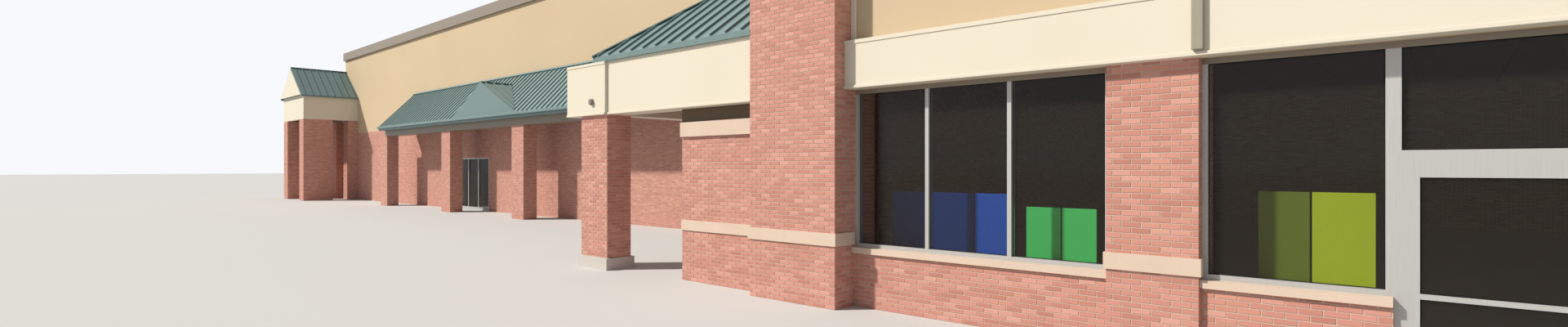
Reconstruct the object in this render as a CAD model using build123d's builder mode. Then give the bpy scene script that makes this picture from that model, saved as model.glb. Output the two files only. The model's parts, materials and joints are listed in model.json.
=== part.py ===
"""Garden centre in a shopping parade, as a model at half its real size.

All sizes are those of the half-size model, in millimetres.
X runs along the front, +Y goes in from the street and Z is up.
The origin is on the ground, at the middle of the plan's outer box.
A low store with a glazed front stands at the right. A tall store stands back at the left.
"""

import os
from math import radians, tan

from build123d import *

os.makedirs("parts", exist_ok=True)

# Shell
wall_t = 150.0
slab_t = 50.0
deck_t = 150.0
fit_gap = 5.0
seat_gap = 0.3

# Lengths along the front
pylon_w = 930.0
shop_bay_w = 1945.0
pier_w = 495.0
side_bay_w = 825.0
corner_w = 1110.0
tall_store_w = 23530.0
tower_past_w = 1250.0

# Depths, from the front of the cream fascia
plan_depth = 12000.0
eave_out = 125.0
pylon_out = 120.0
field_in = 100.0
pier_in = 75.0
pier_depth = 325.0
knee_in = 115.0
frame_in = 145.0
corner_wall_in = 40.0
tall_front_in = 3700.0

# Heights of the low store
fascia_z = 1715.0
fascia_h = 375.0
low_top = 3100.0
low_deck_below_top = 500.0
pylon_top = 3400.0
cap_h = 60.0
cap_out = 30.0

# Heights of the tall store
brick_top = 2300.0
tall_top = 5200.0
cornice_h = 270.0
cornice_out = 60.0
tall_deck_below_top = 450.0

# Cream courses and the window sills
knee_h = 425.0
sill_h = 45.0
sill_out = 25.0
course_z = 490.0
course_h = 100.0
course_out = 15.0
ledge_z = 1400.0
ledge_h = 140.0
ledge_out = 30.0

# Window frames
rail_w = 30.0
frame_d = 60.0
glass_t = 12.0
shop_panes = 3

# Entrance
jamb_w = 70.0
panel_w = 540.0
header_z = 1079.0
header_h = 75.0
header_d = 110.0
stile_w = 26.0
leaf_t = 30.0
kick_h = 90.0
push_z = 470.0
push_h = 26.0
hanger_w = 60.0
door_travel = 500.0

# Covered corner at the left of the low store
hip_reach = 1605.0
hip_in = 275.0
hip_depth = 2025.0
hip_pitch = 36.0
beam_z = 1670.0
beam_h = 570.0
beam_t = 240.0
beam_in = -95.0
beam_past = 255.0
block_out = 30.0
post_w = 505.0
post_d = 300.0
post_base_h = 125.0
post_base_out = 30.0
eave_lap = 60.0

# Awning along the tall store
awning_depth = 1000.0
awning_eave_z = 2265.0
awning_top_z = 3300.0
awning_from_left = 6550.0
gutter_h = 110.0
arcade_beam_h = 150.0
arcade_post_in = 2870.0
arcade_post_d = 300.0
arcade_post_w = 520.0
arcade_posts_from_left = (6215.0, 10565.0, 14280.0)
gable_from_left = 13150.0
gable_w = 3250.0
gable_rise = 760.0

# Shop window of the tall store
tall_window_w = 1800.0
tall_window_h = 1300.0
tall_window_from_left = 9600.0

# Gabled tower at the far left
tower_w = 2500.0
tower_front_in = 2090.0
tower_pier_d = 850.0
tower_board_h = 800.0
tower_roof_h = 1005.0
tower_below_top = 675.0
tower_pier_w = 500.0
tower_board_t = 120.0
tower_lap = 80.0

# Places along X
entrance_w = 2 * jamb_w + 4 * panel_w
low_store_w = 2 * (pylon_w + shop_bay_w + pier_w + side_bay_w) + entrance_w
plan_w = low_store_w + corner_w + tall_store_w + tower_past_w
x_right = plan_w / 2
x_pylon_r = x_right - pylon_w
x_pier_r = x_pylon_r - shop_bay_w
x_side_r = x_pier_r - pier_w
x_door_r = x_side_r - side_bay_w
x_door_l = x_door_r - entrance_w
x_side_l = x_door_l - side_bay_w
x_pier_l = x_side_l - pier_w
x_pylon_l = x_pier_l - shop_bay_w
x_corner = x_pylon_l - pylon_w
x_middle = x_corner - corner_w
x_tall_left = x_middle - tall_store_w
x_left = x_tall_left - tower_past_w
x_door = (x_door_l + x_door_r) / 2

# Places along Y
y_back = (plan_depth + eave_out) / 2
y_face = y_back - plan_depth
y_pylon = y_face - pylon_out
y_field = y_face + field_in
y_pier = y_face + pier_in
y_pier_back = y_pier + pier_depth
y_knee = y_face + knee_in
y_corner = y_face + corner_wall_in
y_frame = y_face + frame_in
y_tall = y_face + tall_front_in
y_eave = y_face - eave_out
y_beam = y_face + beam_in
y_hip_back = y_eave + hip_depth
y_arcade = y_face + arcade_post_in
y_tower = y_face + tower_front_in
fascia_top = fascia_z + fascia_h
soffit_z = beam_z + beam_h
low_deck_top = low_top - low_deck_below_top
tall_deck_top = tall_top - tall_deck_below_top
tower_ridge_z = tall_top - tower_below_top
tower_eave_z = tower_ridge_z - tower_roof_h
tower_pier_z = tower_eave_z - tower_board_h


def add_box(x, y, z, mode=Mode.ADD):
    """One box from its low and high values on each axis."""
    with Locations((sum(x) / 2, sum(y) / 2, sum(z) / 2)):
        Box(x[1] - x[0], y[1] - y[0], z[1] - z[0], mode=mode)


def keep(piece, label):
    """Name a finished piece and write its file."""
    piece.part.label = label
    export_step(piece.part, f"parts/{label}.step")


def add_prism(points, plane, length, mode=Mode.ADD):
    """A straight prism from an outline drawn on a plane."""
    with BuildSketch(plane) as outline:
        with BuildLine():
            Polyline(*points, close=True)
        make_face()
    extrude(outline.sketch, amount=length, mode=mode)


def box_piece(label, x, y, z):
    """A piece that is one plain block."""
    with BuildPart() as piece:
        add_box(x, y, z)
    keep(piece, label)


# Floors
box_piece("low_store_floor", (x_middle + wall_t, x_right - wall_t),
          (y_pier_back, y_back - wall_t), (0, slab_t))
box_piece("tall_store_floor", (x_tall_left + wall_t, x_middle),
          (y_tall + wall_t, y_back - wall_t), (0, slab_t))
box_piece("entrance_threshold", (x_door_l, x_door_r), (y_knee, y_pier_back), (0, slab_t))

# Outer walls of the low store
box_piece("low_back_wall", (x_middle + wall_t, x_right - wall_t),
          (y_back - wall_t, y_back), (0, low_top - cap_h))
box_piece("low_right_wall", (x_right - wall_t, x_right),
          (y_pier_back, y_back), (0, low_top - cap_h))
box_piece("shared_wall_front", (x_middle, x_middle + wall_t),
          (y_beam + beam_t + wall_t, y_hip_back), (0, soffit_z))
box_piece("shared_wall", (x_middle, x_middle + wall_t),
          (y_hip_back, y_back), (0, low_top - cap_h))

# Brick wall of the covered corner, stepped to pass under and behind the front beam
y_behind_beam = y_beam + beam_t
with BuildPart() as corner_wall:
    add_box((x_middle, x_corner), (y_corner, y_behind_beam + wall_t), (0, beam_z))
    add_box((x_middle, x_corner), (y_behind_beam, y_behind_beam + wall_t), (0, soffit_z))
keep(corner_wall, "corner_wall")
box_piece("corner_ledge", (x_middle, x_corner),
          (y_corner - ledge_out, y_corner), (ledge_z, ledge_z + ledge_h))

# Roof decks
with BuildPart() as low_deck:
    add_box((x_middle + wall_t, x_right - wall_t),
            (y_hip_back + wall_t, y_back - wall_t), (low_deck_top - deck_t, low_deck_top))
    add_box((x_corner + wall_t, x_right - wall_t),
            (y_pier_back, y_hip_back + wall_t), (low_deck_top - deck_t, low_deck_top))
    add_box((x_pylon_l, x_pylon_r),
            (y_field + wall_t, y_pier_back), (low_deck_top - deck_t, low_deck_top))
keep(low_deck, "low_roof_deck")
box_piece("tall_roof_deck", (x_tall_left + wall_t, x_middle),
          (y_tall + wall_t, y_back - wall_t), (tall_deck_top - deck_t, tall_deck_top))

# Parapet that returns round the covered corner
with BuildPart() as corner_parapet:
    add_box((x_corner, x_corner + wall_t),
            (y_pier_back, y_hip_back + wall_t), (soffit_z, low_top - cap_h))
    add_box((x_middle + wall_t, x_corner),
            (y_hip_back, y_hip_back + wall_t), (soffit_z, low_top - cap_h))
keep(corner_parapet, "corner_parapet")

# Brick pylons and their stone caps
for label, x_pylon in (("left_pylon", x_corner), ("right_pylon", x_pylon_r)):
    box_piece(label, (x_pylon, x_pylon + pylon_w),
              (y_pylon, y_pier_back), (0, pylon_top))
with BuildPart() as pylon_caps:
    for x_pylon in (x_corner, x_pylon_r):
        add_box((x_pylon - cap_out, x_pylon + pylon_w),
                (y_pylon - cap_out, y_pier_back), (pylon_top, pylon_top + cap_h))
keep(pylon_caps, "pylon_caps")

# Brick piers between the shop windows
with BuildPart() as piers:
    for x_span in ((x_pier_l, x_side_l), (x_side_r, x_pier_r)):
        add_box(x_span, (y_pier, y_pier_back), (0, fascia_z))
keep(piers, "front_piers")

# Low brick walls under the shop windows, with their sills
window_bays = ((x_pylon_l, x_pier_l), (x_side_l, x_door_l), (x_door_r, x_side_r), (x_pier_r, x_pylon_r))
with BuildPart() as knee_walls:
    for x_span in window_bays:
        add_box(x_span, (y_knee, y_pier_back), (0, knee_h))
keep(knee_walls, "knee_walls")
with BuildPart() as sills:
    for x_span in window_bays:
        add_box(x_span, (y_knee - sill_out, y_pier_back), (knee_h, knee_h + sill_h))
keep(sills, "window_sills")

# Cream course on the corner wall, and round the piers and the pylons as far as the low walls
course_span = (course_z, course_z + course_h)
with BuildPart() as courses:
    for x_span in ((x_pier_l, x_side_l), (x_side_r, x_pier_r)):
        add_box((x_span[0] - course_out, x_span[1] + course_out), (y_pier - course_out, y_knee), course_span)
        add_box(x_span, (y_pier, y_knee), course_span, Mode.SUBTRACT)
    add_box((x_corner - course_out, x_pylon_l + course_out), (y_pylon - course_out, y_knee), course_span)
    add_box((x_corner - course_out, x_pylon_l), (y_pylon, y_knee), course_span, Mode.SUBTRACT)
    add_box((x_corner - course_out, x_corner), (y_pylon, y_corner), course_span)
    add_box((x_pylon_r - course_out, x_right), (y_pylon - course_out, y_pylon), course_span)
    add_box((x_pylon_r - course_out, x_pylon_r), (y_pylon, y_knee), course_span)
    add_box((x_middle, x_corner - course_out), (y_corner - course_out, y_corner), course_span)
keep(courses, "stone_courses")

# Cream fascia, the stucco field above it and the lintel behind it
box_piece("fascia_band", (x_pylon_l, x_pylon_r), (y_face, y_field), (fascia_z, fascia_top))
box_piece("stucco_field", (x_pylon_l, x_pylon_r), (y_field, y_field + wall_t), (fascia_z, low_top - cap_h))
box_piece("storefront_lintel", (x_pylon_l, x_pylon_r),
          (y_field + wall_t, y_pier_back), (fascia_z, fascia_z + wall_t))

# Metal caps on the low parapets
with BuildPart() as low_caps:
    add_box((x_pylon_l, x_pylon_r), (y_field - cap_out, y_field + wall_t), (low_top - cap_h, low_top))
    add_box((x_right - wall_t, x_right), (y_pier_back, y_back), (low_top - cap_h, low_top))
    add_box((x_middle + wall_t, x_right - wall_t), (y_back - wall_t, y_back), (low_top - cap_h, low_top))
    add_box((x_corner, x_corner + wall_t),
            (y_pier_back, y_hip_back + wall_t), (low_top - cap_h, low_top))
    add_box((x_middle, x_corner), (y_hip_back, y_hip_back + wall_t), (low_top - cap_h, low_top))
    add_box((x_middle, x_middle + wall_t), (y_hip_back + wall_t, y_tall), (low_top - cap_h, low_top))
keep(low_caps, "low_parapet_caps")


def add_frame(x, z, panes):
    """A window frame between two heights, with its mullions."""
    y_span = (y_frame, y_frame + frame_d)
    add_box(x, y_span, z)
    pane_w = (x[1] - x[0] - rail_w * (panes + 1)) / panes
    for index in range(panes):
        x_pane = x[0] + rail_w + index * (pane_w + rail_w)
        add_box((x_pane, x_pane + pane_w), y_span, (z[0] + rail_w, z[1] - rail_w), Mode.SUBTRACT)


def add_panes(x, z, panes):
    """The glass of a window frame, one sheet in each opening."""
    y_glass = y_frame + (frame_d - glass_t) / 2
    pane_w = (x[1] - x[0] - rail_w * (panes + 1)) / panes
    for index in range(panes):
        x_pane = x[0] + rail_w + index * (pane_w + rail_w)
        add_box((x_pane, x_pane + pane_w), (y_glass, y_glass + glass_t),
                (z[0] + rail_w, z[1] - rail_w))


# Shop windows
window_z = (knee_h + sill_h, fascia_z)
bay_panes = (shop_panes, 1, 1, shop_panes)
with BuildPart() as window_frames:
    for x_span, panes in zip(window_bays, bay_panes):
        add_frame(x_span, window_z, panes)
keep(window_frames, "window_frames")
with BuildPart() as window_glass:
    for x_span, panes in zip(window_bays, bay_panes):
        add_panes(x_span, window_z, panes)
keep(window_glass, "window_glass")

# Entrance frame with jambs, header and transom lights above it
x_in_l = x_door_l + jamb_w
x_in_r = x_door_r - jamb_w
leaf_w = panel_w
header_top = header_z + header_h
transom_z = (header_top, fascia_z)
with BuildPart() as entrance_jambs:
    for x_span in ((x_door_l, x_in_l), (x_in_r, x_door_r)):
        add_box(x_span, (y_frame, y_frame + frame_d), (slab_t, header_z))
keep(entrance_jambs, "entrance_jambs")
box_piece("entrance_header", (x_door_l, x_door_r), (y_frame, y_frame + header_d), (header_z, header_top))
with BuildPart() as transom_frame:
    add_frame((x_door_l, x_door_r), transom_z, shop_panes)
keep(transom_frame, "transom_frame")
with BuildPart() as transom_glass:
    add_panes((x_door_l, x_door_r), transom_z, shop_panes)
keep(transom_glass, "transom_glass")


def add_leaf_frame(x, y, z):
    """The stiles, rails and push rail of one glazed panel."""
    add_box(x, y, z)
    x_open = (x[0] + stile_w, x[1] - stile_w)
    add_box(x_open, y, (z[0] + kick_h, push_z), Mode.SUBTRACT)
    add_box(x_open, y, (push_z + push_h, z[1] - stile_w), Mode.SUBTRACT)


def add_leaf_glass(x, y, z):
    """The two sheets of glass in one panel."""
    x_open = (x[0] + stile_w, x[1] - stile_w)
    y_mid = (y[0] + y[1]) / 2
    y_glass = (y_mid - glass_t / 2, y_mid + glass_t / 2)
    add_box(x_open, y_glass, (z[0] + kick_h, push_z))
    add_box(x_open, y_glass, (push_z + push_h, z[1] - stile_w))


# Fixed side panels of the entrance
y_side = (y_frame, y_frame + leaf_t)
side_spans = ((x_in_l, x_in_l + leaf_w), (x_in_r - leaf_w, x_in_r))
with BuildPart() as side_frames:
    for x_span in side_spans:
        add_leaf_frame(x_span, y_side, (slab_t, header_z))
keep(side_frames, "entrance_side_panels")
with BuildPart() as side_glass:
    for x_span in side_spans:
        add_leaf_glass(x_span, y_side, (slab_t, header_z))
keep(side_glass, "entrance_side_glass")

# Two sliding leaves behind the side panels, each with two hangers that run under the header
y_leaf = (y_frame + leaf_t + fit_gap, y_frame + 2 * leaf_t + fit_gap)
leaf_z = (slab_t + fit_gap, header_z - fit_gap)
for label, x_span in (("left", (x_door - leaf_w, x_door - fit_gap / 2)),
                      ("right", (x_door + fit_gap / 2, x_door + leaf_w))):
    with BuildPart() as leaf:
        add_leaf_frame(x_span, y_leaf, leaf_z)
        for x_hanger in (x_span[0] + hanger_w, x_span[1] - hanger_w):
            add_box((x_hanger - hanger_w / 2, x_hanger + hanger_w / 2), y_leaf,
                    (leaf_z[1], header_z - seat_gap))
    keep(leaf, f"{label}_door_leaf")
    with BuildPart() as glass:
        add_leaf_glass(x_span, y_leaf, leaf_z)
    keep(glass, f"{label}_door_glass")

# Column of the covered corner
x_post = x_middle - hip_reach
with BuildPart() as corner_post:
    add_box((x_post, x_post + post_w), (y_beam, y_beam + post_d), (post_base_h, beam_z))
keep(corner_post, "corner_column")
with BuildPart() as post_base:
    add_box((x_post - post_base_out, x_post + post_w + post_base_out),
            (y_beam - post_base_out, y_beam + post_d + post_base_out), (0, post_base_h))
keep(post_base, "corner_column_base")

# Cream beams of the covered corner: front, side and back, and the block at the front beam's end
x_beam = x_post - beam_past
x_hip = x_post + hip_in
y_back_beam = (y_hip_back - eave_lap - beam_t, y_hip_back - eave_lap)
box_piece("corner_front_beam", (x_beam, x_corner), (y_beam, y_beam + beam_t), (beam_z, soffit_z))
box_piece("corner_end_block", (x_beam, x_post + post_w), (y_beam - block_out, y_beam), (beam_z, soffit_z))
box_piece("corner_side_beam", (x_hip, x_hip + beam_t),
          (y_beam + beam_t, y_back_beam[0]), (beam_z, soffit_z))
box_piece("corner_back_beam", (x_hip, x_middle), y_back_beam, (beam_z, soffit_z))

# Hipped metal roof over the covered corner
hip_run = hip_depth / 2
hip_rise = hip_run * tan(radians(hip_pitch))
hip_z = soffit_z + gutter_h / 2
with BuildPart() as hip_roof:
    add_prism([(y_eave, hip_z), (y_hip_back, hip_z), (y_eave + hip_run, hip_z + hip_rise)],
              Plane.YZ.offset(x_hip), x_corner - x_hip)
    add_prism([(x_hip, hip_z), (x_hip + hip_run, hip_z + hip_rise), (x_hip, hip_z + hip_rise)],
              Plane.XZ.offset(-y_hip_back), hip_depth, Mode.SUBTRACT)
keep(hip_roof, "corner_hip_roof")
box_piece("corner_roof_board", (x_hip, x_corner), (y_eave, y_hip_back), (soffit_z, hip_z))

# Front wall of the tall store, brick below and stucco above
x_window = x_tall_left + tall_window_from_left
x_window_end = x_window + tall_window_w
window_top = slab_t + tall_window_h
y_tall_wall = (y_tall, y_tall + wall_t)
box_piece("tall_brick_wall_left", (x_tall_left, x_window), y_tall_wall, (0, brick_top))
box_piece("tall_brick_wall_right", (x_window_end, x_middle), y_tall_wall, (0, brick_top))
box_piece("tall_brick_wall_over", (x_window, x_window_end), y_tall_wall, (window_top, brick_top))
box_piece("tall_stucco_wall", (x_tall_left, x_middle), y_tall_wall, (brick_top, tall_top - cornice_h))
box_piece("tall_left_wall", (x_tall_left, x_tall_left + wall_t),
          (y_tall + wall_t, y_back), (0, tall_top - cornice_h))
box_piece("tall_back_wall", (x_tall_left + wall_t, x_middle), (y_back - wall_t, y_back),
          (0, tall_top - cornice_h))
box_piece("tall_right_wall", (x_middle, x_middle + wall_t), (y_tall, y_back),
          (low_top - cap_h, tall_top - cornice_h))

# Metal cornice round the tall store
with BuildPart() as cornice:
    add_box((x_tall_left - cornice_out, x_middle + wall_t + cornice_out),
            (y_tall - cornice_out, y_back), (tall_top - cornice_h, tall_top))
    add_box((x_tall_left + wall_t, x_middle),
            (y_tall + wall_t, y_back - wall_t), (tall_top - cornice_h, tall_top), Mode.SUBTRACT)
keep(cornice, "tall_cornice")

# Shop window of the tall store
with BuildPart() as tall_window:
    add_box((x_window, x_window_end), (y_tall, y_tall + frame_d), (0, window_top))
    tall_pane_w = (tall_window_w - rail_w * (shop_panes + 1)) / shop_panes
    for index in range(shop_panes):
        x_pane = x_window + rail_w + index * (tall_pane_w + rail_w)
        add_box((x_pane, x_pane + tall_pane_w), (y_tall, y_tall + frame_d),
                (slab_t + rail_w, window_top - rail_w), Mode.SUBTRACT)
keep(tall_window, "tall_window_frame")
y_tall_glass = (y_tall + (frame_d - glass_t) / 2, y_tall + (frame_d + glass_t) / 2)
with BuildPart() as tall_glass:
    for index in range(shop_panes):
        x_pane = x_window + rail_w + index * (tall_pane_w + rail_w)
        add_box((x_pane, x_pane + tall_pane_w), y_tall_glass, (slab_t + rail_w, window_top - rail_w))
keep(tall_glass, "tall_window_glass")

# Awning roof along the tall store, on a beam and brick columns
x_awning = x_tall_left + awning_from_left
y_gutter = y_tall - awning_depth
soffit_awning_z = awning_eave_z - gutter_h
awning_outline = [(y_gutter, soffit_awning_z), (y_gutter, awning_eave_z),
                  (y_tall, awning_top_z), (y_tall, soffit_awning_z)]
with BuildPart() as awning:
    add_prism(awning_outline, Plane.YZ.offset(x_awning), x_middle - x_awning)
keep(awning, "awning_roof")
box_piece("arcade_beam", (x_awning, x_middle), (y_arcade, y_arcade + arcade_post_d),
          (soffit_awning_z - arcade_beam_h, soffit_awning_z))
with BuildPart() as arcade_posts:
    for from_left in arcade_posts_from_left:
        x_column = x_tall_left + from_left
        add_box((x_column, x_column + arcade_post_w), (y_arcade, y_arcade + arcade_post_d),
                (0, soffit_awning_z - arcade_beam_h))
keep(arcade_posts, "arcade_columns")

# Small gable across the awning, over the second and third columns
x_gable = x_tall_left + gable_from_left
with BuildPart() as gable:
    add_prism([(x_gable - gable_w / 2, awning_eave_z), (x_gable + gable_w / 2, awning_eave_z),
               (x_gable, awning_eave_z + gable_rise)],
              Plane.XZ.offset(-y_tall), awning_depth)
    add_prism(awning_outline, Plane.YZ.offset(x_gable - gable_w), 2 * gable_w, Mode.SUBTRACT)
keep(gable, "awning_gable")

# Gabled tower at the far left, on four brick piers. The back left one reaches the tall store's corner
x_tower = x_left + tower_lap
x_tower_end = x_tower + tower_w
x_right_piers = (x_tower_end - tower_pier_w, x_tower_end)
with BuildPart() as tower_piers:
    for x_span in ((x_tower, x_tower + tower_pier_w), x_right_piers):
        add_box(x_span, (y_tower, y_tower + tower_pier_d), (0, tower_pier_z))
    for x_span in ((x_tower, x_tall_left), x_right_piers):
        add_box(x_span, (y_tall - arcade_post_d, y_tall), (0, tower_pier_z))
keep(tower_piers, "tower_piers")
tower_board_z = (tower_pier_z, tower_eave_z)
with BuildPart() as tower_boards:
    add_box((x_tower, x_tower_end), (y_tower, y_tall), tower_board_z)
    add_box((x_tower + tower_board_t, x_tower_end - tower_board_t),
            (y_tower + tower_board_t, y_tall - tower_board_t), tower_board_z, Mode.SUBTRACT)
keep(tower_boards, "tower_boards")
with BuildPart() as tower_roof:
    add_prism([(x_tower - tower_lap, tower_eave_z), (x_tower_end + tower_lap, tower_eave_z),
               ((x_tower + x_tower_end) / 2, tower_ridge_z)],
              Plane.XZ.offset(-y_tall), y_tall - y_tower + tower_lap)
keep(tower_roof, "tower_roof")
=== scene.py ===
"""The looks of a brick and stucco garden centre, a model at half its real size, in metres."""

import json
import math
from functools import partial

import bmesh
import bpy
from mathutils import Matrix, Vector


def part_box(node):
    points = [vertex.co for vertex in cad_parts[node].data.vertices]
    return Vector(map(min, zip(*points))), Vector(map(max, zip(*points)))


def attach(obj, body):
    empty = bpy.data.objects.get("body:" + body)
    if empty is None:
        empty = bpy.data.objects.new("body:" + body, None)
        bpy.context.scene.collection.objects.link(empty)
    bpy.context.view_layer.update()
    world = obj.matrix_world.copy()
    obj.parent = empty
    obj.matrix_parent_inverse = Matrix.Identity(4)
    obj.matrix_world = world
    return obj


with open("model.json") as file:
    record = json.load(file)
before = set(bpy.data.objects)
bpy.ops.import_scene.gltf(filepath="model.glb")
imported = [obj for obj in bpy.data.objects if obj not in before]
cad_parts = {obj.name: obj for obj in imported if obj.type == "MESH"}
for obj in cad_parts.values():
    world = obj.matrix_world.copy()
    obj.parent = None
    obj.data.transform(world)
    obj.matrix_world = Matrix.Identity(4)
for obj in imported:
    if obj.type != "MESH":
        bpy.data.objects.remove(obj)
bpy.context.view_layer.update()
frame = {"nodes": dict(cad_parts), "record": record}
nodes = frame["nodes"]
scene = bpy.context.scene
scene.view_settings.view_transform = "Standard"


# Places read from the frame
SAME_PLACE = 1e-5
SORT_DIGITS = 3


def corners(node):
    """The lowest and highest corners of a node as vectors."""
    low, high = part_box(node)
    return Vector(low), Vector(high)


def solids(node):
    """The boxes of a node's separate solids, from left to right."""
    bm = bmesh.new()
    bm.from_mesh(nodes[node].data)
    bmesh.ops.remove_doubles(bm, verts=bm.verts, dist=SAME_PLACE)
    seen = set()
    boxes = []
    for vert in bm.verts:
        if vert in seen:
            continue
        group = [vert]
        seen.add(vert)
        for member in group:
            for edge in member.link_edges:
                other = edge.other_vert(member)
                if other not in seen:
                    seen.add(other)
                    group.append(other)
        low = Vector([min(v.co[i] for v in group) for i in range(3)])
        high = Vector([max(v.co[i] for v in group) for i in range(3)])
        boxes.append((low, high))
    bm.free()
    return sorted(boxes, key=lambda box: (round(box[0].x, SORT_DIGITS), box[0].y))


FASCIA_LOW, FASCIA_HIGH = corners("fascia_band")
PYLON_LOW = corners("left_pylon")[0]
AWNING_LOW, AWNING_HIGH = corners("awning_roof")
GABLE_LOW, GABLE_HIGH = corners("awning_gable")
HIP_LOW, HIP_HIGH = corners("corner_hip_roof")
TOWER_LOW, TOWER_HIGH = corners("tower_roof")
GABLE_MIDDLE = (GABLE_LOW.x + GABLE_HIGH.x) / 2
GABLE_HALF = (GABLE_HIGH.x - GABLE_LOW.x) / 2
HIP_RUN = (HIP_HIGH.y - HIP_LOW.y) / 2
TOWER_MIDDLE = (TOWER_LOW.x + TOWER_HIGH.x) / 2

# The camera's eye, from the left edge of the left pylon, the front of the fascia and the ground, its
# turn from the line of the front, and the photograph's width, focal length and horizon in pixels
EYE_RIGHT = 4.36
EYE_OUT = 4.415
EYE_UP = 1.1
TURN_FROM_FRONT = math.radians(47.3)
PHOTO_WIDE = 1920
FOCUS_PIXELS = 870
HORIZON_DROP_PIXELS = 5

# Brick sizes at half scale, with one grid of joints for the whole building
BRICK_LONG = 0.1067
BRICK_COURSE = 0.0339
MORTAR = 0.006
BRICK_PROUD = 0.0025
BOND_SHIFT = 0.5
FACING_THICK = 0.003

# The hair's breadth between an added piece and the face behind it, and two roundings of edges
HAIR = 0.0005
SOFT_EDGE = 0.006
FINE_EDGE = 0.001


# Shader maths
class Sock:
    """A shader socket that takes Python's arithmetic."""

    def __init__(self, tree, socket):
        self.tree = tree
        self.socket = socket

    def math(self, operation, *others, swap=False):
        """One Math node on this socket and other sockets or numbers."""
        node = self.tree.nodes.new("ShaderNodeMath")
        node.operation = operation
        values = [self, *others]
        if swap:
            values.reverse()
        for index, value in enumerate(values):
            if isinstance(value, Sock):
                self.tree.links.new(value.socket, node.inputs[index])
            else:
                node.inputs[index].default_value = value
        return Sock(self.tree, node.outputs[0])

    def __add__(self, other):
        return self.math("ADD", other)

    def __sub__(self, other):
        return self.math("SUBTRACT", other)

    def __rsub__(self, other):
        return self.math("SUBTRACT", other, swap=True)

    def __mul__(self, other):
        return self.math("MULTIPLY", other)

    def __truediv__(self, other):
        return self.math("DIVIDE", other)

    def __mod__(self, other):
        return self.math("FLOORED_MODULO", other)

    __radd__ = __add__
    __rmul__ = __mul__

    def above(self, other):
        return self.math("GREATER_THAN", other)

    def below(self, other):
        return self.math("LESS_THAN", other)


def set_stops(ramp, stops):
    """Gives a colour ramp its stops, each a place and a colour."""
    while len(ramp.elements) < len(stops):
        ramp.elements.new(0.5)
    for element, (place, colour) in zip(ramp.elements, stops):
        element.position = place
        element.color = (*colour, 1)


def add_node(tree, kind, settings=None, **inputs):
    """Any node but a Math node: its settings first, then the values or links of its sockets."""
    node = tree.nodes.new(kind)
    for key, value in (settings or {}).items():
        if key == "stops":
            set_stops(node.color_ramp, value)
        else:
            setattr(node, key, value)
    for key, value in inputs.items():
        socket = next(s for s in node.inputs if s.enabled and s.name == key)
        if isinstance(value, Sock):
            tree.links.new(value.socket, socket)
        elif socket.type == "RGBA":
            socket.default_value = (*value, 1)
        else:
            socket.default_value = value
    return node


class Finish:
    """A material being made, with its Principled shader."""

    def __init__(self, name, colour, roughness):
        self.material = bpy.data.materials.new(name)
        self.material.use_nodes = True
        self.tree = self.material.node_tree
        self.shader = self.tree.nodes["Principled BSDF"]
        self.fix("Base Color", (*colour, 1))
        self.fix("Roughness", roughness)

    def fix(self, name, value):
        """Gives a socket of the shader one value for the whole surface."""
        self.shader.inputs[name].default_value = value

    def drive(self, name, value):
        """Links what changes over the surface to a socket of the shader."""
        self.tree.links.new(value.socket, self.shader.inputs[name])

    def out(self, kind, settings=None, output=None, **inputs):
        """A new node's output, the first that is enabled unless named."""
        node = add_node(self.tree, kind, settings, **inputs)
        socket = next(s for s in node.outputs if s.enabled and output in (None, s.name))
        return Sock(self.tree, socket)

    def place(self):
        """The Object coordinates."""
        return self.out("ShaderNodeTexCoord", output="Object")

    def parts(self, vector):
        """The three numbers of a vector."""
        node = add_node(self.tree, "ShaderNodeSeparateXYZ", Vector=vector)
        return [Sock(self.tree, socket) for socket in node.outputs]

    def noise(self, place, scale, detail, roughness):
        """Fractal noise at a place, from 0 to 1."""
        return self.out("ShaderNodeTexNoise", Vector=place, Scale=scale, Detail=detail, Roughness=roughness)

    def mix(self, factor, first, second):
        """A colour between two, by a factor."""
        return self.out("ShaderNodeMix", {"data_type": "RGBA"}, Factor=factor, A=first, B=second)

    def bump(self, height, distance, strength):
        """Drives the normal by a height."""
        normal = self.out("ShaderNodeBump", Height=height, Distance=distance, Strength=strength)
        self.drive("Normal", normal)


# Finishes
CLAY_SHADES = [(0.0, (0.43, 0.170, 0.130)), (0.2, (0.49, 0.205, 0.158)), (0.6, (0.55, 0.240, 0.186)),
               (0.85, (0.59, 0.275, 0.216)), (1.0, (0.64, 0.325, 0.262))]
CLAY_PLAIN = (0.40, 0.16, 0.11)
CLAY_DARK = (0.38, 0.15, 0.11)
CLAY_WASHED = (0.60, 0.36, 0.28)
JOINT_DARK = (0.52, 0.39, 0.31)
JOINT_PALE = (0.62, 0.50, 0.41)
SIDE_SEED = 37.0
RENDER_GRAIN_SHADE = 0.72
DECK_SHEET_WIDE = 0.9
DECK_LAP_SHARE = 0.03
DECK_LAP_COLOUR = (0.30, 0.30, 0.29)
DRAWN_ACROSS = 260.0
DRAWN_ALONG = 6.0
WEAR_GAIN = 1.25
WEAR_LIFT = 0.004


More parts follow.
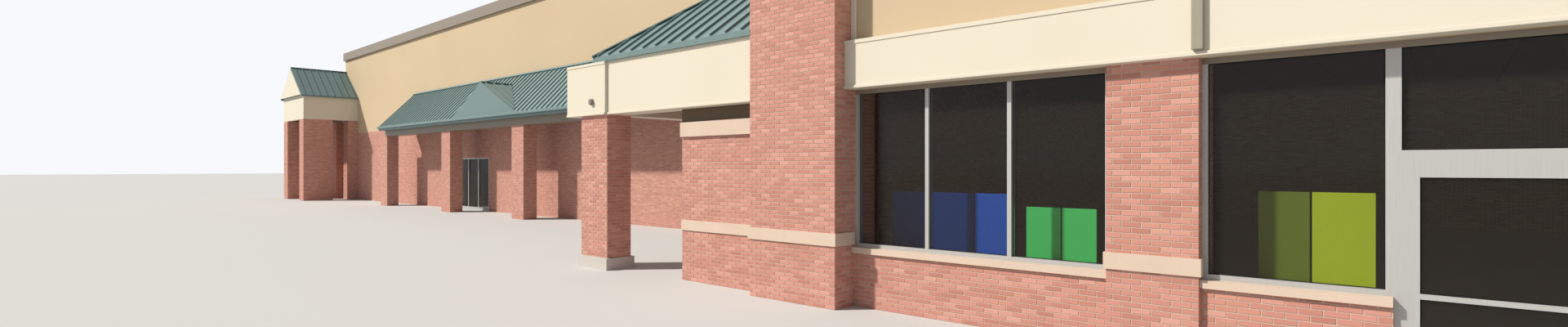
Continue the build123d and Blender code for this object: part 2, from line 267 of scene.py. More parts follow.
def brick_finish():
    """Red face brick in running bond, each brick its own shade, with pale joints."""
    finish = Finish("brick", CLAY_PLAIN, roughness=0.85)
    place = finish.place()
    x, y, z = finish.parts(place)
    normal_x = finish.parts(finish.out("ShaderNodeNewGeometry", output="True Normal"))[0]
    side = normal_x.math("ABSOLUTE").above(0.5)
    along = x + (y - x) * side
    course = (z / BRICK_COURSE).math("FLOOR")
    shifted = along / BRICK_LONG + (course % 2.0) * BOND_SHIFT
    key = finish.out("ShaderNodeCombineXYZ", X=shifted.math("FLOOR"), Y=course, Z=side * SIDE_SEED)
    shade = finish.out("ShaderNodeTexWhiteNoise", output="Value", Vector=key)
    from_middle = (shifted.math("FRACT") - 0.5).math("ABSOLUTE")
    from_middle_up = ((z / BRICK_COURSE).math("FRACT") - 0.5).math("ABSOLUTE")
    end_gap = from_middle.above(0.5 - MORTAR / BRICK_LONG / 2)
    bed_gap = from_middle_up.above(0.5 - MORTAR / BRICK_COURSE / 2)
    joint = end_gap.math("MAXIMUM", bed_gap)
    grain = finish.noise(place, scale=60.0, detail=4.0, roughness=0.6)
    weather = finish.noise(place, scale=0.9, detail=3.0, roughness=0.5)
    clay = finish.out("ShaderNodeValToRGB", {"stops": CLAY_SHADES}, Fac=shade)
    clay = finish.mix(grain * 0.30, clay, CLAY_DARK)
    clay = finish.mix(weather * 0.26, clay, CLAY_WASHED)
    mortar = finish.mix(grain, JOINT_DARK, JOINT_PALE)
    finish.drive("Base Color", finish.mix(joint, clay, mortar))
    finish.drive("Roughness", 0.78 + 0.16 * grain)
    finish.bump((1 - joint) + grain * 0.25, distance=0.002, strength=0.6)
    return finish.material


def render_finish(name, light, dark, grain_scale, depth):
    """Troweled render with slight clouds of colour and a sandy grain."""
    finish = Finish(name, light, roughness=0.9)
    place = finish.place()
    cloud = finish.noise(place, scale=0.55, detail=4.0, roughness=0.6)
    grain = finish.noise(place, grain_scale, detail=3.0, roughness=0.7)
    grain_colour = tuple(part * RENDER_GRAIN_SHADE for part in dark)
    finish.drive("Base Color", finish.mix(grain * 0.12, finish.mix(cloud, light, dark), grain_colour))
    finish.drive("Roughness", 0.84 + 0.12 * grain)
    finish.bump(grain, depth, strength=0.5)
    return finish.material


def metal_finish(name, colour, dull, roughness):
    """Painted sheet metal with faint oil-canning and chalky patches."""
    finish = Finish(name, colour, roughness)
    place = finish.place()
    sheet = finish.noise(place, scale=3.0, detail=2.0, roughness=0.5)
    chalk = finish.noise(place, scale=14.0, detail=5.0, roughness=0.65)
    finish.drive("Base Color", finish.mix(chalk * 0.45, colour, dull))
    finish.drive("Roughness", roughness + 0.2 * chalk)
    finish.bump(sheet, distance=0.004, strength=0.3)
    finish.fix("Coat Weight", 0.15)
    return finish.material


def stone_finish(name, colour, shade):
    """Cast stone or concrete with fine pits."""
    finish = Finish(name, colour, roughness=0.88)
    place = finish.place()
    cloud = finish.noise(place, scale=4.0, detail=4.0, roughness=0.6)
    pits = finish.out("ShaderNodeTexVoronoi", output="Distance", Vector=place, Scale=140.0)
    finish.drive("Base Color", finish.mix(cloud, colour, shade))
    finish.drive("Roughness", 0.8 + 0.15 * cloud)
    finish.bump(pits, distance=0.0012, strength=0.4)
    return finish.material


def deck_finish():
    """Light roofing sheet with lapped seams."""
    finish = Finish("roof_membrane", (0.52, 0.52, 0.50), roughness=0.8)
    place = finish.place()
    stain = finish.noise(place, scale=0.8, detail=5.0, roughness=0.6)
    lap = (finish.parts(place)[0] / DECK_SHEET_WIDE).math("FRACT").below(DECK_LAP_SHARE)
    base = finish.mix(stain, (0.56, 0.56, 0.54), (0.43, 0.42, 0.40))
    finish.drive("Base Color", finish.mix(lap * 0.35, base, DECK_LAP_COLOUR))
    finish.bump(lap + stain * 0.3, distance=0.003, strength=0.5)
    return finish.material


def glass_finish():
    """Dark shop glass that still shows what stands close behind it."""
    finish = Finish("shop_glass", (0.034, 0.027, 0.020), roughness=0.04)
    finish.fix("Alpha", 0.26)
    ripple = finish.noise(finish.place(), scale=1.6, detail=1.0, roughness=0.4)
    finish.bump(ripple, distance=0.002, strength=0.08)
    return finish.material


def aluminium_finish():
    """Satin aluminium with a fine drawn grain."""
    finish = Finish("satin_aluminium", (0.45, 0.45, 0.44), roughness=0.42)
    finish.fix("Metallic", 0.25)
    x, y, z = finish.parts(finish.place())
    drawn = finish.out("ShaderNodeCombineXYZ", X=x * DRAWN_ACROSS, Y=y * DRAWN_ACROSS, Z=z * DRAWN_ALONG)
    grain = finish.noise(drawn, scale=1.0, detail=2.0, roughness=0.5)
    finish.drive("Base Color", finish.mix(grain, (0.40, 0.40, 0.39), (0.50, 0.50, 0.485)))
    finish.drive("Roughness", 0.36 + 0.16 * grain)
    finish.bump(grain, distance=0.0003, strength=0.3)
    return finish.material


def plain_finish(name, colour):
    """Paint or rubber of one colour with a soft sheen and slight wear."""
    finish = Finish(name, colour, roughness=0.6)
    finish.fix("Specular IOR Level", 0.12)
    place = finish.place()
    wear = finish.noise(place, scale=22.0, detail=4.0, roughness=0.6)
    fine = finish.noise(place, scale=160.0, detail=2.0, roughness=0.5)
    worn = tuple(min(1, part * WEAR_GAIN + WEAR_LIFT) for part in colour)
    finish.drive("Base Color", finish.mix(wear * 0.3, colour, worn))
    finish.drive("Roughness", 0.5 + 0.2 * wear)
    finish.bump(fine, distance=0.0004, strength=0.3)
    return finish.material


BRICK = brick_finish()
STUCCO = render_finish("tan_stucco", (0.60, 0.475, 0.315), (0.53, 0.41, 0.26), 90.0, 0.0012)
CREAM = render_finish("cream_render", (0.71, 0.66, 0.55), (0.66, 0.60, 0.485), 110.0, 0.0008)
STONE = stone_finish("cast_stone", (0.66, 0.53, 0.42), (0.56, 0.44, 0.35))
CONCRETE = stone_finish("concrete", (0.58, 0.55, 0.51), (0.46, 0.43, 0.40))
GREEN = metal_finish("green_metal", (0.100, 0.178, 0.176), (0.21, 0.275, 0.27), 0.42)
BRONZE = metal_finish("bronze_trim", (0.20, 0.165, 0.125), (0.30, 0.26, 0.21), 0.5)
# A dark brown metal that stands as painted shade on the corner wall under the front beam
PAINTED_SHADE_METAL = metal_finish("dark_soffit", (0.085, 0.050, 0.016), (0.13, 0.085, 0.040), 0.6)
RUBBER = plain_finish("black_rubber", (0.015, 0.015, 0.015))
PIPE = metal_finish("pipe_paint", (0.27, 0.24, 0.175), (0.36, 0.33, 0.26), 0.5)
DECK = deck_finish()
GLASS = glass_finish()
ALUMINIUM = aluminium_finish()

# The finish of each slot, and of the two nodes that look unlike their slot
SLOT_FINISH = {"brick": BRICK, "stucco": STUCCO, "cream": CREAM, "stone": STONE, "concrete": CONCRETE,
               "green_metal": GREEN, "trim": BRONZE, "deck": DECK, "glass": GLASS, "aluminium": ALUMINIUM}
NODE_FINISH = {"corner_ledge": STONE, "tower_boards": CREAM}


def finish_nodes():
    """Gives each node its own finish, or else that of its slot in the record."""
    slots = {entry["node"]: entry["material_slot"] for entry in frame["record"]["subparts"]}
    for name, node in nodes.items():
        node.data.materials.clear()
        node.data.materials.append(NODE_FINISH.get(name, SLOT_FINISH[slots[name]]))


# Mesh helpers
BEVEL_SEGMENTS = 2


def new_piece(name, mesh_maker, material, body="building"):
    """An object at the origin whose mesh a function fills, riding on a body."""
    mesh = bpy.data.meshes.new(name)
    bm = bmesh.new()
    mesh_maker(bm)
    bm.to_mesh(mesh)
    bm.free()
    mesh.materials.append(material)
    piece = bpy.data.objects.new(name, mesh)
    bpy.context.collection.objects.link(piece)
    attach(piece, body)


def add_block(bm, low, high, bevel=0.0):
    """A block between two corners, its edges eased by a bevel."""
    low, high = Vector(low), Vector(high)
    made = bmesh.ops.create_cube(bm, size=1.0)["verts"]
    bmesh.ops.scale(bm, vec=high - low, verts=made)
    bmesh.ops.translate(bm, vec=(low + high) / 2, verts=made)
    if bevel:
        edges = {edge for vert in made for edge in vert.link_edges}
        bmesh.ops.bevel(bm, geom=list(edges), offset=bevel, offset_type="OFFSET",
                        segments=BEVEL_SEGMENTS, profile=0.5, affect="EDGES", material=-1)


def add_bar(bm, start, end, wide, high, up):
    """A bar from start to end, lying on its line and standing up from it by its height."""
    start, end, up = Vector(start), Vector(end), Vector(up).normalized()
    run = end - start
    made = bmesh.ops.create_cube(bm, size=1.0)["verts"]
    across = run.normalized().cross(up)
    turn = Matrix((run.normalized(), across, up)).transposed().to_4x4()
    middle = (start + end) / 2 + up * (high / 2)
    place = Matrix.Translation(middle) @ turn @ Matrix.Diagonal((run.length, wide, high, 1))
    bmesh.ops.transform(bm, matrix=place, verts=made)


# Brick faces
COURSE_SLACK = 0.01


def two_courses(lower_course, left, right):
    """A mesh of two courses of bricks between two ends, facing -Y and open against the wall."""
    half_joint = MORTAR / 2
    rows = bmesh.new()
    for course in (lower_course, lower_course + 1):
        shift = BOND_SHIFT * (course % 2)
        bottom = course * BRICK_COURSE
        for index in range(math.floor(left / BRICK_LONG + shift), math.ceil(right / BRICK_LONG + shift)):
            start = max((index - shift) * BRICK_LONG + half_joint, left)
            end = min((index + 1 - shift) * BRICK_LONG - half_joint, right)
            if end - start > MORTAR:
                add_block(rows, (start, -BRICK_PROUD, bottom + half_joint),
                          (end, 0, bottom + BRICK_COURSE - half_joint))
    hidden = [face for face in rows.faces if face.normal.y > 0.5]
    bmesh.ops.delete(rows, geom=hidden, context="FACES")
    mesh = bpy.data.meshes.new("rows")
    rows.to_mesh(mesh)
    rows.free()
    return mesh


def brick_face(bm, turn, low, high):
    """The bricks of one flat wall face, in whole courses counted from the ground, cut at its two ends.

    low and high are the face's corners along and up. turn places the face, which is made facing -Y.
    """
    first_course = math.ceil(low[1] / BRICK_COURSE - COURSE_SLACK)
    course_count = math.floor(high[1] / BRICK_COURSE + COURSE_SLACK) - first_course
    rows = two_courses(first_course, low[0], high[0])
    tall = stacked(rows, (0, 0, 2 * BRICK_COURSE), (course_count + 1) // 2)
    top = (first_course + course_count) * BRICK_COURSE
    cut = bmesh.new()
    cut.from_mesh(tall)
    extra = [vert for vert in cut.verts if vert.co.z > top]
    bmesh.ops.delete(cut, geom=extra, context="VERTS")
    bmesh.ops.transform(cut, matrix=turn, verts=cut.verts)
    if turn.determinant() < 0:
        bmesh.ops.reverse_faces(cut, faces=cut.faces)
    cut.to_mesh(tall)
    cut.free()
    bm.from_mesh(tall)
    bpy.data.meshes.remove(tall)


def stacked(mesh, step, count):
    """A mesh repeated by an array and made real, in place of the one handed in."""
    holder = bpy.data.objects.new("stack", mesh)
    bpy.context.collection.objects.link(holder)
    array = holder.modifiers.new("stack", "ARRAY")
    array.use_relative_offset = False
    array.use_constant_offset = True
    array.constant_offset_displace = step
    array.count = count
    ready = holder.evaluated_get(bpy.context.evaluated_depsgraph_get())
    real = bpy.data.meshes.new_from_object(ready)
    bpy.data.objects.remove(holder)
    bpy.data.meshes.remove(mesh)
    return real


def facing_street(y):
    """Leaves a face looking to the street, at this depth."""
    return Matrix.Translation((0, y, 0))


def facing_back(y):
    """Turns a face to look away from the street, at this depth."""
    return Matrix.Translation((0, y, 0)) @ Matrix.Diagonal((1, -1, 1, 1))


def facing_right(x):
    """Turns a face to look right, at this place along the front."""
    return Matrix(((0, -1, 0, x), (1, 0, 0, 0), (0, 0, 1, 0), (0, 0, 0, 1)))


def facing_left(x):
    """Turns a face to look left, at this place along the front."""
    return Matrix(((0, 1, 0, x), (1, 0, 0, 0), (0, 0, 1, 0), (0, 0, 0, 1)))


def brick_box(bm, box, sides):
    """Bricks on the chosen sides of a box: s street, b back, l left, r right."""
    low, high = box
    across = ((low.x, low.z), (high.x, high.z))
    deep = ((low.y, low.z), (high.y, high.z))
    if "s" in sides:
        brick_face(bm, facing_street(low.y), *across)
    if "b" in sides:
        brick_face(bm, facing_back(high.y), *across)
    if "r" in sides:
        brick_face(bm, facing_right(high.x), *deep)
    if "l" in sides:
        brick_face(bm, facing_left(low.x), *deep)


def brick_faces(bm, faces):
    """Bricks on the chosen sides of every solid of some nodes."""
    for node, sides in faces:
        for box in solids(node):
            brick_box(bm, box, sides)


def corner_wall_bricks(bm):
    """Bricks on the corner wall, up to the underside of the front beam."""
    low, high = corners("corner_wall")
    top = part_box("corner_front_beam")[0][2]
    brick_face(bm, facing_street(low.y), (low.x, low.z), (high.x, top))


def side_facings(bm):
    """Thin brick slabs on the tall store's left and back walls, as high as the brick of its front."""
    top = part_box("tall_brick_wall_left")[1][2]
    left_low = corners("tall_left_wall")[0]
    back_high = corners("tall_back_wall")[1]
    x_out = left_low.x - FACING_THICK
    add_block(bm, (x_out, left_low.y, 0), (left_low.x - HAIR, back_high.y, top))
    add_block(bm, (x_out, back_high.y + HAIR, 0), (back_high.x, back_high.y + FACING_THICK, top))


def brick_pieces():
    """The bricks that stand proud on walls, pylons, piers and columns, and the thin side facings."""
    groups = {
        "pylon_bricks": [("left_pylon", "slr"), ("right_pylon", "slr")],
        "pier_bricks": [("front_piers", "slr")],
        "knee_wall_bricks": [("knee_walls", "s")],
        "shared_wall_bricks": [("shared_wall_front", "l")],
        "corner_column_bricks": [("corner_column", "slrb")],
        "arcade_column_bricks": [("arcade_columns", "slrb")],
        "tower_pier_bricks": [("tower_piers", "slrb")],
        "tall_wall_bricks_left": [("tall_brick_wall_left", "s")],
        "tall_wall_bricks_right": [("tall_brick_wall_right", "s"), ("tall_brick_wall_over", "s")],
    }
    for name, faces in groups.items():
        new_piece(name, partial(brick_faces, faces=faces), BRICK)
    new_piece("corner_wall_bricks", corner_wall_bricks, BRICK)
    new_piece("side_facings", side_facings, BRICK)


# Standing seams on the metal roofs
SEAM_PITCH = 0.2
SEAM_WIDE = 0.016
SEAM_HIGH = 0.022


def seam_places(low, high):
    """Evenly spaced places between two ends, the outer ones half a step in."""
    count = max(1, round((high - low) / SEAM_PITCH))
    step = (high - low) / count
    return [low + step * (index + 0.5) for index in range(count)]


def add_seam(bm, start, end, up):
    """One seam from start to end on a slope whose normal is up."""
    add_bar(bm, start, end, SEAM_WIDE, SEAM_HIGH, up)


def awning_seams(bm):
    """Seams up the awning, which start at the small gable's valley where it is in the way."""
    y_low, y_high = AWNING_LOW.y, AWNING_HIGH.y
    z_eave = GABLE_LOW.z
    slope = (AWNING_HIGH.z - z_eave) / (y_high - y_low)
    for x in seam_places(AWNING_LOW.x, AWNING_HIGH.x):
        rise = max(0.0, (GABLE_HIGH.z - z_eave) * (1 - abs(x - GABLE_MIDDLE) / GABLE_HALF))
        start = (x, y_low + rise / slope, z_eave + rise)
        add_seam(bm, start, (x, y_high, AWNING_HIGH.z), (0, -slope, 1))


def gable_seams(bm):
    """Seams down both slopes of the small gable."""
    rise = GABLE_HIGH.z - GABLE_LOW.z
    deep = GABLE_HIGH.y - GABLE_LOW.y
    for y in seam_places(GABLE_LOW.y, GABLE_HIGH.y):
        reach = GABLE_HALF * (1 - (y - GABLE_LOW.y) / deep)
        for side in (-1, 1):
            end = (GABLE_MIDDLE + side * reach, y, GABLE_HIGH.z - rise * reach / GABLE_HALF)
            add_seam(bm, (GABLE_MIDDLE, y, GABLE_HIGH.z), end, (side * rise, 0, GABLE_HALF))


def hip_seams(bm):
    """Seams up the three slopes of the hipped roof."""
    slope = (HIP_HIGH.z - HIP_LOW.z) / HIP_RUN
    eave = HIP_LOW.z
    for x in seam_places(HIP_LOW.x, HIP_HIGH.x):
        reach = min(HIP_RUN, x - HIP_LOW.x)
        top = eave + reach * slope
        add_seam(bm, (x, HIP_LOW.y, eave), (x, HIP_LOW.y + reach, top), (0, -slope, 1))
        add_seam(bm, (x, HIP_HIGH.y, eave), (x, HIP_HIGH.y - reach, top), (0, slope, 1))
    for y in seam_places(HIP_LOW.y, HIP_HIGH.y):
        reach = HIP_RUN - abs(y - HIP_LOW.y - HIP_RUN)
        add_seam(bm, (HIP_LOW.x, y, eave), (HIP_LOW.x + reach, y, eave + reach * slope), (-slope, 0, 1))


def tower_seams(bm):
    """Seams down both slopes of the tower's roof."""
    half = TOWER_MIDDLE - TOWER_LOW.x
    rise = TOWER_HIGH.z - TOWER_LOW.z
    for y in seam_places(TOWER_LOW.y, TOWER_HIGH.y):
        for side in (-1, 1):
            eave = (TOWER_MIDDLE + side * half, y, TOWER_LOW.z)
            add_seam(bm, (TOWER_MIDDLE, y, TOWER_HIGH.z), eave, (side * rise, 0, half))


# Caps, flashing and gutters of the metal roofs
RIDGE_WIDE = 0.07
RIDGE_HIGH = 0.012
HIP_LEAN = 0.4
FLASHING_WIDE = 0.06
FLASHING_HIGH = 0.03
GUTTER_WIDE = 0.05
GUTTER_HIGH = 0.06
GUTTER_LIP = 0.004
TOWER_GUTTER_OUT = 0.01
TOWER_GUTTER_IN = 0.04


def add_ridge(bm, start, end, up=(0, 0, 1)):
    """One flat cap along a ridge or a hip."""
    add_bar(bm, start, end, RIDGE_WIDE, RIDGE_HIGH, up)


def ridge_caps(bm):
    """Flat caps along the ridges and hips, and a flashing where the awning meets its wall."""
    peak = (HIP_LOW.x + HIP_RUN, HIP_LOW.y + HIP_RUN, HIP_HIGH.z)
    add_ridge(bm, peak, (HIP_HIGH.x, HIP_LOW.y + HIP_RUN, HIP_HIGH.z))
    for y in (HIP_LOW.y, HIP_HIGH.y):
        add_ridge(bm, (HIP_LOW.x, y, HIP_LOW.z), peak, (-HIP_LEAN, 0, 1))
    for low, high in ((TOWER_LOW, TOWER_HIGH), (GABLE_LOW, GABLE_HIGH)):
        x_mid = (low.x + high.x) / 2
        add_ridge(bm, (x_mid, low.y, high.z), (x_mid, high.y, high.z))
    y_flashing = AWNING_HIGH.y - FLASHING_WIDE / 2
    z_flashing = AWNING_HIGH.z - FLASHING_WIDE / 2
    add_bar(bm, (AWNING_LOW.x, y_flashing, z_flashing), (AWNING_HIGH.x, y_flashing, z_flashing),
            FLASHING_WIDE, FLASHING_HIGH, (0, -1, 1))


def roof_gutters(bm):
    """Box gutters along the eaves of the awning and of the tower."""
    top = GABLE_LOW.z + GUTTER_LIP
    add_block(bm, (AWNING_LOW.x, AWNING_LOW.y - GUTTER_WIDE, top - GUTTER_HIGH),
              (AWNING_HIGH.x, AWNING_LOW.y - HAIR, top), SOFT_EDGE)
    for x_low, x_high in ((TOWER_LOW.x - TOWER_GUTTER_OUT, TOWER_LOW.x + TOWER_GUTTER_IN),
                          (TOWER_HIGH.x - TOWER_GUTTER_IN, TOWER_HIGH.x + TOWER_GUTTER_OUT)):
        add_block(bm, (x_low, TOWER_LOW.y, TOWER_LOW.z - GUTTER_WIDE),
                  (x_high, TOWER_HIGH.y - HAIR, TOWER_LOW.z), SOFT_EDGE)


def roof_pieces():
    """Seams, caps and gutters of the green metal roofs."""
    for maker in (awning_seams, gable_seams, hip_seams, tower_seams, ridge_caps, roof_gutters):
        new_piece(maker.__name__, maker, GREEN)


# Trim of the fascia, the corner beam and the tower
LIP_OUT = 0.006
LIP_HIGH = 0.03
LIP_EDGE = LIP_OUT / 3
FOOT_OUT = 0.010
FOOT_HIGH = 0.024
FOOT_EDGE = FOOT_OUT / 3
STRIP_OUT = 0.02
STRIP_WIDE = 0.05
PIPE_WIDE = 0.06
PIPE_OVER_PIER = PIPE_WIDE / 4
PIPE_DEEP = 0.032
PIPE_UP = 0.03
STRAP_OUT = 0.008
STRAP_THICK = 0.003
STRAP_HIGH = 0.018
STRAPS_OVER_FASCIA = (0.15, 0.75)
SHADE_STRIP_OUT = 2 * BRICK_PROUD
GABLE_EDGE = 0.06
GABLE_OUT = 0.012
HEAD_OUT = 0.004
HEAD_HIGH = 0.034


def fascia_trim(bm):
    """Lips along the top and foot of the fascia, the end block and the beam, and a strip by each pylon."""
    field_low, field_high = corners("stucco_field")
    beam_low, beam_high = corners("corner_front_beam")
    block_low, block_high = corners("corner_end_block")
    faces = ((FASCIA_LOW.x, FASCIA_HIGH.x, FASCIA_LOW.y, FASCIA_LOW.z, FASCIA_HIGH.z),
             (block_low.x, block_high.x, block_low.y, block_low.z, block_high.z),
             (block_high.x, beam_high.x, beam_low.y, beam_low.z, beam_high.z))
    for x_low, x_high, y, foot, top in faces:
        add_block(bm, (x_low, y - LIP_OUT, top - LIP_HIGH), (x_high, y - HAIR, top), LIP_EDGE)
        add_block(bm, (x_low, y - FOOT_OUT, foot), (x_high, y - HAIR, foot + FOOT_HIGH), FOOT_EDGE)
    for x in (FASCIA_LOW.x, FASCIA_HIGH.x - STRIP_WIDE):
        add_block(bm, (x, field_low.y - STRIP_OUT, FASCIA_HIGH.z + HAIR),
                  (x + STRIP_WIDE, field_low.y - HAIR, field_high.z), SOFT_EDGE)


def downpipes(bm):
    """A flat pipe down the front over the right edge of each pier, with two straps above the fascia."""
    top = corners("stucco_field")[1].z
    y_wall = FASCIA_LOW.y - HAIR
    for _, pier_high in solids("front_piers"):
        x = pier_high.x - PIPE_OVER_PIER
        add_block(bm, (x, FASCIA_LOW.y - PIPE_DEEP, FASCIA_LOW.z + PIPE_UP),
                  (x + PIPE_WIDE, y_wall, top), SOFT_EDGE)
        for over in STRAPS_OVER_FASCIA:
            z = FASCIA_HIGH.z + over
            add_block(bm, (x - STRAP_OUT, y_wall - PIPE_DEEP - STRAP_THICK, z),
                      (x + PIPE_WIDE + STRAP_OUT, y_wall, z + STRAP_HIGH), FINE_EDGE)


def soffit_closer(bm):
    """A dark metal strip of painted shade on the corner wall, between the ledge and the underside of the
    front beam, where the beam casts its shadow.
    """
    wall_low, wall_high = corners("corner_wall")
    z_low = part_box("corner_ledge")[1][2]
    z_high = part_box("corner_front_beam")[0][2]
    add_block(bm, (wall_low.x, wall_low.y - SHADE_STRIP_OUT, z_low + HAIR),
              (wall_high.x - HAIR, wall_low.y, z_high - HAIR), FINE_EDGE)


def tower_gable(bm):
    """A smooth rendered board on the street end of the tower's roof."""
    outline = [(TOWER_LOW.x + GABLE_EDGE, TOWER_LOW.z), (TOWER_HIGH.x - GABLE_EDGE, TOWER_LOW.z),
               (TOWER_MIDDLE, TOWER_HIGH.z - GABLE_EDGE)]
    faces = []
    for y in (TOWER_LOW.y - GABLE_OUT, TOWER_LOW.y - HAIR):
        faces.append(bm.faces.new([bm.verts.new((x, y, z)) for x, z in outline]))
    bmesh.ops.bridge_loops(bm, edges=[edge for face in faces for edge in face.edges])
    bmesh.ops.recalc_face_normals(bm, faces=bm.faces)


def head_flashings_painted_shade(bm):
    """Bronze strips over the head rails of the windows, close under the fascia, that darken the rails as
    painted shade.
    """
    for node in ("window_frames", "transom_frame"):
        for low, high in solids(node):
            add_block(bm, (low.x, low.y - HEAD_OUT, high.z - HEAD_HIGH),
                      (high.x, low.y - HAIR, high.z - HAIR), FINE_EDGE)


def trim_pieces():
    """The cream, bronze and painted trim of the front, the corner and the tower, with a dark strip of
    painted shade under the corner beam and bronze strips of painted shade over the window heads.
    """
    new_piece("fascia_trim", fascia_trim, CREAM)
    new_piece("downpipes", downpipes, PIPE)
    # A dark strip of painted shade between the corner ledge and the front beam
    new_piece("soffit_closer", soffit_closer, PAINTED_SHADE_METAL)
    new_piece("tower_gable", tower_gable, CREAM)
    # Bronze strips that darken the window head rails as painted shade under the fascia
    new_piece("head_flashings_painted_shade", head_flashings_painted_shade, BRONZE)


# Dark rubber gaskets round the panes
GASKET_WIDE = 0.005
GASKET_THICK = 0.002


def pane_gaskets(bm, node):
    """Four thin strips round each pane of a glass node, on its street side."""
    for low, high in solids(node):
        y_span = (low.y - GASKET_THICK, low.y - HAIR)
        strips = (((low.x, low.z), (high.x, low.z + GASKET_WIDE)),
                  ((low.x, high.z - GASKET_WIDE), (high.x, high.z)),
                  ((low.x, low.z + GASKET_WIDE), (low.x + GASKET_WIDE, high.z - GASKET_WIDE)),
                  ((high.x - GASKET_WIDE, low.z + GASKET_WIDE), (high.x, high.z - GASKET_WIDE)))
        for start, end in strips:
            add_block(bm, (start[0], y_span[0], start[1]), (end[0], y_span[1], end[1]))


def gasket_pieces():
    """Gaskets for the fixed glass on the building and for the glass of each leaf on that leaf."""
    carriers = {"window_glass": "building", "transom_glass": "building", "tall_window_glass": "building",
                "entrance_side_glass": "building", "left_door_glass": "left_leaf",
                "right_door_glass": "right_leaf"}
    for node, body in carriers.items():
        new_piece(f"{node}_gaskets", partial(pane_gaskets, node=node), RUBBER, body)


# Display boards behind the shop glass: colour, left and right edges as lengths left of the eye, and top
BOARD_THICK = 0.012
BOARD_EDGE = 0.003
BOARD_BEHIND = 0.02
BOARDS = {
    # The leftmost board is the blue board's colour darkened as painted shade
    "navy_board": ((0.001, 0.045, 0.25), ((3.26, 2.545),), 0.91),
    "blue_board": ((0.012, 0.13, 0.70), ((2.535, 2.28),), 0.91),
    "green_boards": ((0.10, 0.93, 0.23), ((2.14, 1.90), (1.89, 1.66)), 0.825),
    "olive_board": ((0.20, 0.30, 0.030), ((0.765, 0.525),), 0.965),
    "lime_board": ((0.62, 0.85, 0.030), ((0.515, 0.245),), 0.965),
}


def stand_boards(bm, spans, top):
    """Boards of one colour that stand on the floor close behind the glass."""
    floor_low, floor_high = corners("low_store_floor")
    y = floor_low.y + BOARD_BEHIND
    eye_x = PYLON_LOW.x + EYE_RIGHT
    for left, right in spans:
        add_block(bm, (eye_x - left, y, floor_high.z), (eye_x - right, y + BOARD_THICK, top), BOARD_EDGE)


def display_boards():
    """The plain coloured boards in the windows left of the entrance, the leftmost a darker copy of the blue
    one as painted shade.
    """
    for name, (colour, spans, top) in BOARDS.items():
        new_piece(name, partial(stand_boards, spans=spans, top=top), plain_finish(name, colour))


# Furniture of the entrance
PULL_WIDE = 0.010
PULL_PROUD = 0.0015
PULL_EDGE = PULL_PROUD / 5
PULL_FROM_EDGE = 0.013
PULL_HEIGHTS = (0.42, 0.56)
SENSOR_WIDE = 0.12
SENSOR_HIGH = 0.04
SENSOR_OUT = 0.02
PLATE_THICK = 0.0015
PLATE_REACH = 0.06
PLATE_IN = 0.08
RIB_WIDE = 0.006
RIB_COUNT = 9


def leaf_pull(bm, side):
    """A flat pull bar on the meeting stile of one sliding leaf."""
    low, high = corners(f"{side}_door_leaf")
    x = high.x - PULL_FROM_EDGE if side == "left" else low.x + PULL_FROM_EDGE
    add_block(bm, (x - PULL_WIDE / 2, low.y - PULL_PROUD, PULL_HEIGHTS[0]),
              (x + PULL_WIDE / 2, low.y - HAIR, PULL_HEIGHTS[1]), PULL_EDGE)


def door_sensor(bm):
    """A small bronze housing on the middle of the entrance header."""
    low, high = corners("entrance_header")
    x = (low.x + high.x) / 2
    z = (low.z + high.z) / 2
    add_block(bm, (x - SENSOR_WIDE / 2, low.y - SENSOR_OUT, z - SENSOR_HIGH / 2),
              (x + SENSOR_WIDE / 2, low.y - HAIR, z + SENSOR_HIGH / 2), SOFT_EDGE)


def threshold_plate(bm):
    """A ribbed metal plate on the threshold, lower than the gap under the leaves."""
    low, high = corners("entrance_threshold")
    x_low, x_high = low.x + PLATE_IN, high.x - PLATE_IN
    y_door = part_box("left_door_leaf")[0][1]
    z_plate = high.z + PLATE_THICK
    add_block(bm, (x_low, y_door - PLATE_REACH, high.z + HAIR), (x_high, y_door + PLATE_REACH, z_plate))
    for index in range(RIB_COUNT):
        y = y_door - PLATE_REACH + 2 * PLATE_REACH * (index + 0.5) / RIB_COUNT
        add_block(bm, (x_low, y - RIB_WIDE / 2, z_plate),
                  (x_high, y + RIB_WIDE / 2, z_plate + PLATE_THICK))


def entrance_pieces():
    """The pulls on the leaves, and the sensor and the threshold plate on the building."""
    for side in ("left", "right"):
        new_piece(f"{side}_leaf_pull", partial(leaf_pull, side=side), BRONZE, f"{side}_leaf")
    new_piece("door_sensor", door_sensor, BRONZE)
    new_piece("threshold_plate", threshold_plate, ALUMINIUM)


# A round lamp on the block at the end of the front beam
LAMP_RADIUS = 0.034
LAMP_DEEP = 0.028
LAMP_RIGHT = 0.515
LAMP_UP = 0.145
LAMP_SIDES = 32
RAISED_SHARE = 0.8
RAISED_OUT = 0.008


def block_lamp(bm):
    """A round bronze housing with a raised middle."""
    low = corners("corner_end_block")[0]
    place = Matrix.Translation((low.x + LAMP_RIGHT, low.y - LAMP_DEEP / 2, low.z + LAMP_UP))
    turn = place @ Matrix.Rotation(math.radians(90), 4, "X")
    rounds = ((LAMP_RADIUS, LAMP_DEEP - 2 * HAIR), (LAMP_RADIUS * RAISED_SHARE, LAMP_DEEP + RAISED_OUT))
    for radius, deep in rounds:
        bmesh.ops.create_cone(bm, cap_ends=True, segments=LAMP_SIDES, radius1=radius, radius2=radius,
                              depth=deep, matrix=turn)


# The studio: pale floor, sky and sun
FLOOR_REACH = 150
FLOOR_COLOUR = (0.56, 0.555, 0.55)
BACKGROUND_COLOUR = (0.93, 0.95, 0.97)
SKY_COLOUR = (0.86, 0.92, 1.0)
SKY_STRENGTH = 0.36
SUN_COLOUR = (1.0, 0.95, 0.87)
SUN_STRENGTH = 4.7
SUN_WAY = (0.9, 1.0, -1.15)
SUN_SOFTNESS = math.radians(2.5)


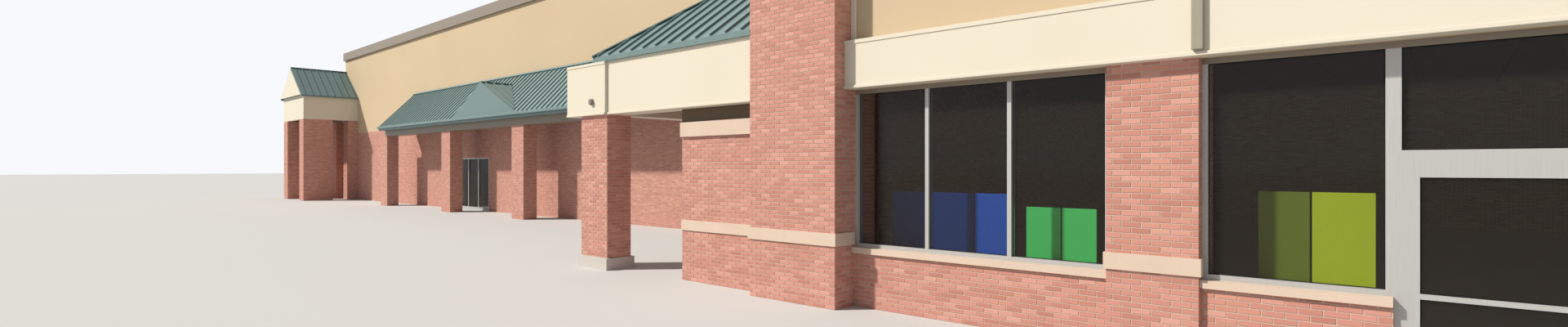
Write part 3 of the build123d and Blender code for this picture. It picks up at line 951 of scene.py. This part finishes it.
def pale_floor():
    """A wide pale floor under the building."""
    bm = bmesh.new()
    bmesh.ops.create_grid(bm, x_segments=1, y_segments=1, size=FLOOR_REACH)
    mesh = bpy.data.meshes.new("floor")
    bm.to_mesh(mesh)
    bm.free()
    floor = bpy.data.objects.new("floor", mesh)
    bpy.context.collection.objects.link(floor)
    paint = Finish("floor_paint", FLOOR_COLOUR, roughness=0.95)
    paint.fix("Specular IOR Level", 0.1)
    mesh.materials.append(paint.material)


def sky():
    """Even light from the sky, with a pale background where it is seen, mirrored or looked through."""
    world = bpy.data.worlds.new("studio")
    scene.world = world
    world.use_nodes = True
    tree = world.node_tree
    tree.nodes.clear()
    path = add_node(tree, "ShaderNodeLightPath")
    soft = add_node(tree, "ShaderNodeBackground", Color=SKY_COLOUR, Strength=SKY_STRENGTH)
    plain = add_node(tree, "ShaderNodeBackground", Color=BACKGROUND_COLOUR, Strength=1.0)
    seen = Sock(tree, path.outputs["Is Camera Ray"])
    for name in ("Is Glossy Ray", "Is Transmission Ray"):
        seen = seen.math("MAXIMUM", Sock(tree, path.outputs[name]))
    mix = add_node(tree, "ShaderNodeMixShader", Fac=seen)
    for index, light in enumerate((soft, plain), start=1):
        tree.links.new(light.outputs[0], mix.inputs[index])
    add_node(tree, "ShaderNodeOutputWorld", Surface=Sock(tree, mix.outputs[0]))


def sun():
    """One sun from the front left, low enough to reach under the awning."""
    lamp = bpy.data.lights.new("sun", "SUN")
    lamp.energy = SUN_STRENGTH
    lamp.angle = SUN_SOFTNESS
    lamp.color = SUN_COLOUR
    holder = bpy.data.objects.new("sun", lamp)
    bpy.context.collection.objects.link(holder)
    holder.rotation_euler = Vector(SUN_WAY).to_track_quat("-Z", "Y").to_euler()


# The camera
FILM_WIDE_MM = 36
FAR_CLIP = 500


def photo_camera():
    """The eye low in front of the low store, looking left along the front."""
    data = bpy.data.cameras.new("camera")
    data.sensor_fit = "HORIZONTAL"
    data.sensor_width = FILM_WIDE_MM
    data.lens = FILM_WIDE_MM * FOCUS_PIXELS / PHOTO_WIDE
    data.shift_y = HORIZON_DROP_PIXELS / PHOTO_WIDE
    data.clip_end = FAR_CLIP
    camera = bpy.data.objects.new("camera", data)
    bpy.context.collection.objects.link(camera)
    camera.location = (PYLON_LOW.x + EYE_RIGHT, FASCIA_LOW.y - EYE_OUT, EYE_UP)
    way = Vector((-math.cos(TURN_FROM_FRONT), math.sin(TURN_FROM_FRONT), 0))
    camera.rotation_euler = way.to_track_quat("-Z", "Y").to_euler()
    scene.camera = camera


finish_nodes()
brick_pieces()
roof_pieces()
trim_pieces()
display_boards()
gasket_pieces()
entrance_pieces()
new_piece("block_lamp", block_lamp, BRONZE)
pale_floor()
sky()
sun()
photo_camera()
